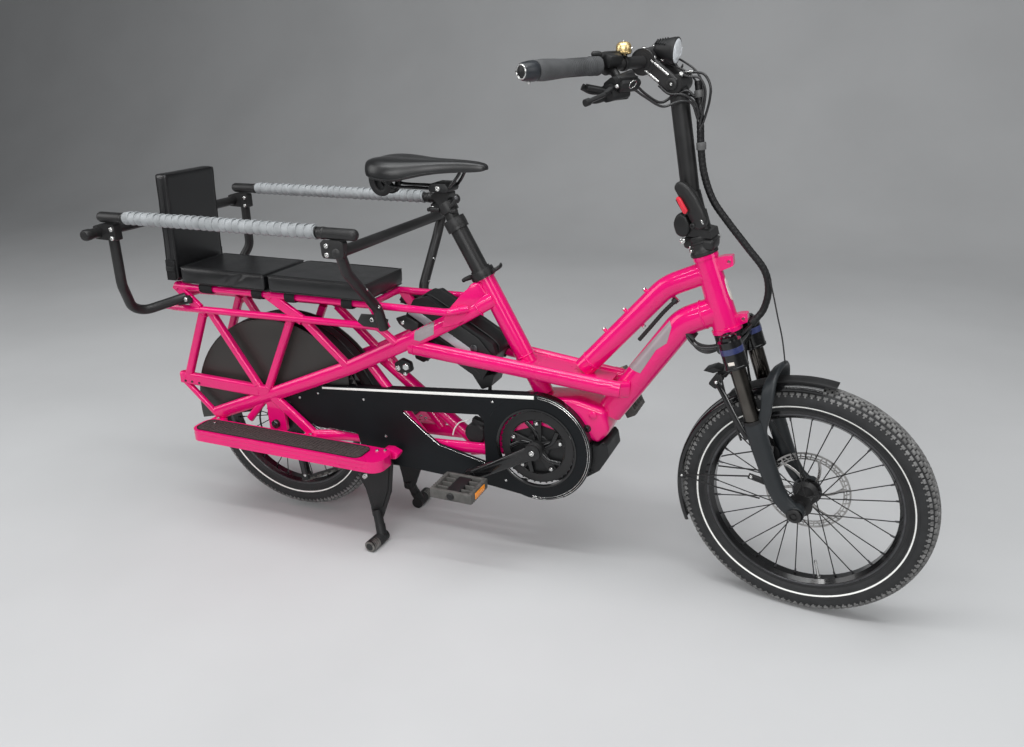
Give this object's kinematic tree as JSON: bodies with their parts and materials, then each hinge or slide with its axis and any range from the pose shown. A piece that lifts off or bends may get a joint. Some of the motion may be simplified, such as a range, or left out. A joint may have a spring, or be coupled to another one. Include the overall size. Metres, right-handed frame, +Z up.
{
  "type": "electric cargo bicycle",
  "caption": "Long-tail electric cargo bicycle with small wheels, rear passenger rack with grab rails, seat pads and backrest, standing on its centre stand.",
  "frame": {"origin": "on the ground under the middle of the whole bicycle as it stands, in its mid-plane", "axes": "+X forward, +Y to the rider's left, +Z up"},
  "size_m": [1.9043, 0.6319, 1.1765],
  "materials": {
    "black_metal": "satin",
    "black_plastic": "matte",
    "brass": "polished",
    "gloss_black": "gloss",
    "grey_plastic": "matte",
    "grey_tape": "woven",
    "lens": "clear",
    "pink": "gloss",
    "rubber": "matte",
    "steel": "brushed",
    "tyre": "matte",
    "vinyl": "grained vinyl"
  },
  "bodies": {
    "frame": {"backrest": "vinyl", "battery": "black_plastic", "cargo_rack": "pink", "chain_guard": "gloss_black", "derailleur": "black_plastic", "down_tube": "pink", "front_hoop": "black_metal", "grab_rails": "grey_tape", "head_tube": "pink", "lower_stays": "pink", "motor": "black_plastic", "motor_shell": "pink", "rear_axle": "steel", "rear_caliper": "black_metal", "rear_frame_left": "pink", "rear_frame_right": "pink", "rear_hoop": "black_metal", "rear_mudguard": "gloss_black", "running_boards": "pink", "saddle": "vinyl", "seat_pad_front": "vinyl", "seat_pad_rear": "vinyl", "seat_tube": "pink", "seatpost": "black_metal", "side_tubes": "pink", "stand_bracket": "black_metal", "top_tube": "pink", "wheel_guards": "grey_plastic"},
    "steering": {"fork_upper": "black_metal", "fork_lowers": "black_metal", "front_mudguard": "gloss_black", "front_caliper": "black_metal", "post_base": "black_metal", "cable_harness": "rubber"},
    "handlepost": {"handlepost": "black_metal", "fold_lever": "black_metal", "stem": "black_metal", "handlebar": "black_metal", "grips": "rubber", "brake_levers": "black_metal", "headlight": "lens", "bell": "brass"},
    "front_wheel": {"front_tyre": "tyre", "front_rim": "black_metal", "front_hub": "black_metal", "front_disc": "steel"},
    "rear_wheel": {"rear_tyre": "tyre", "rear_rim": "black_metal", "rear_hub": "black_metal", "rear_disc": "steel"},
    "crank": {"crankset": "black_metal"},
    "pedal_right": {"pedal_right": "black_metal"},
    "pedal_left": {"pedal_left": "black_metal"},
    "stand": {"stand": "black_metal"}
  },
  "joints": [
    {"name": "steering", "type": "hinge", "parent": "frame", "child": "steering", "pos_m": [0.48249, 0, 0.69486], "axis": [0.3319, 0, -0.9433], "range_deg": [-53.4, 36.6], "deforming": ["cable_harness"]},
    {"name": "handlepost_fold", "type": "hinge", "parent": "steering", "child": "handlepost", "pos_m": [0.45582, 0.0318, 0.80248], "axis": [-0.9904, 0.1373, 0.0141], "range_deg": [0, 85]},
    {"name": "front_wheel_spin", "type": "hinge", "parent": "steering", "child": "front_wheel", "pos_m": [0.69032, -0.00779, 0.2631], "axis": [0.1378, 0.9893, 0.0485], "continuous": true},
    {"name": "rear_wheel_spin", "type": "hinge", "parent": "frame", "child": "rear_wheel", "pos_m": [-0.61037, 0, 0.2773], "axis": [0, 1, 0], "continuous": true},
    {"name": "crank_spin", "type": "hinge", "parent": "frame", "child": "crank", "pos_m": [0.10603, 0, 0.31059], "axis": [0, 1, 0], "continuous": true},
    {"name": "pedal_right_spin", "type": "hinge", "parent": "crank", "child": "pedal_right", "pos_m": [-0.04686, -0.157, 0.23072], "axis": [0, 1, 0], "continuous": true},
    {"name": "pedal_left_spin", "type": "hinge", "parent": "crank", "child": "pedal_left", "pos_m": [0.25893, 0.157, 0.39047], "axis": [0, 1, 0], "continuous": true},
    {"name": "stand_fold", "type": "hinge", "parent": "frame", "child": "stand", "pos_m": [-0.34948, 0, 0.17249], "axis": [0, 1, 0], "range_deg": [0, 100]}
  ]
}
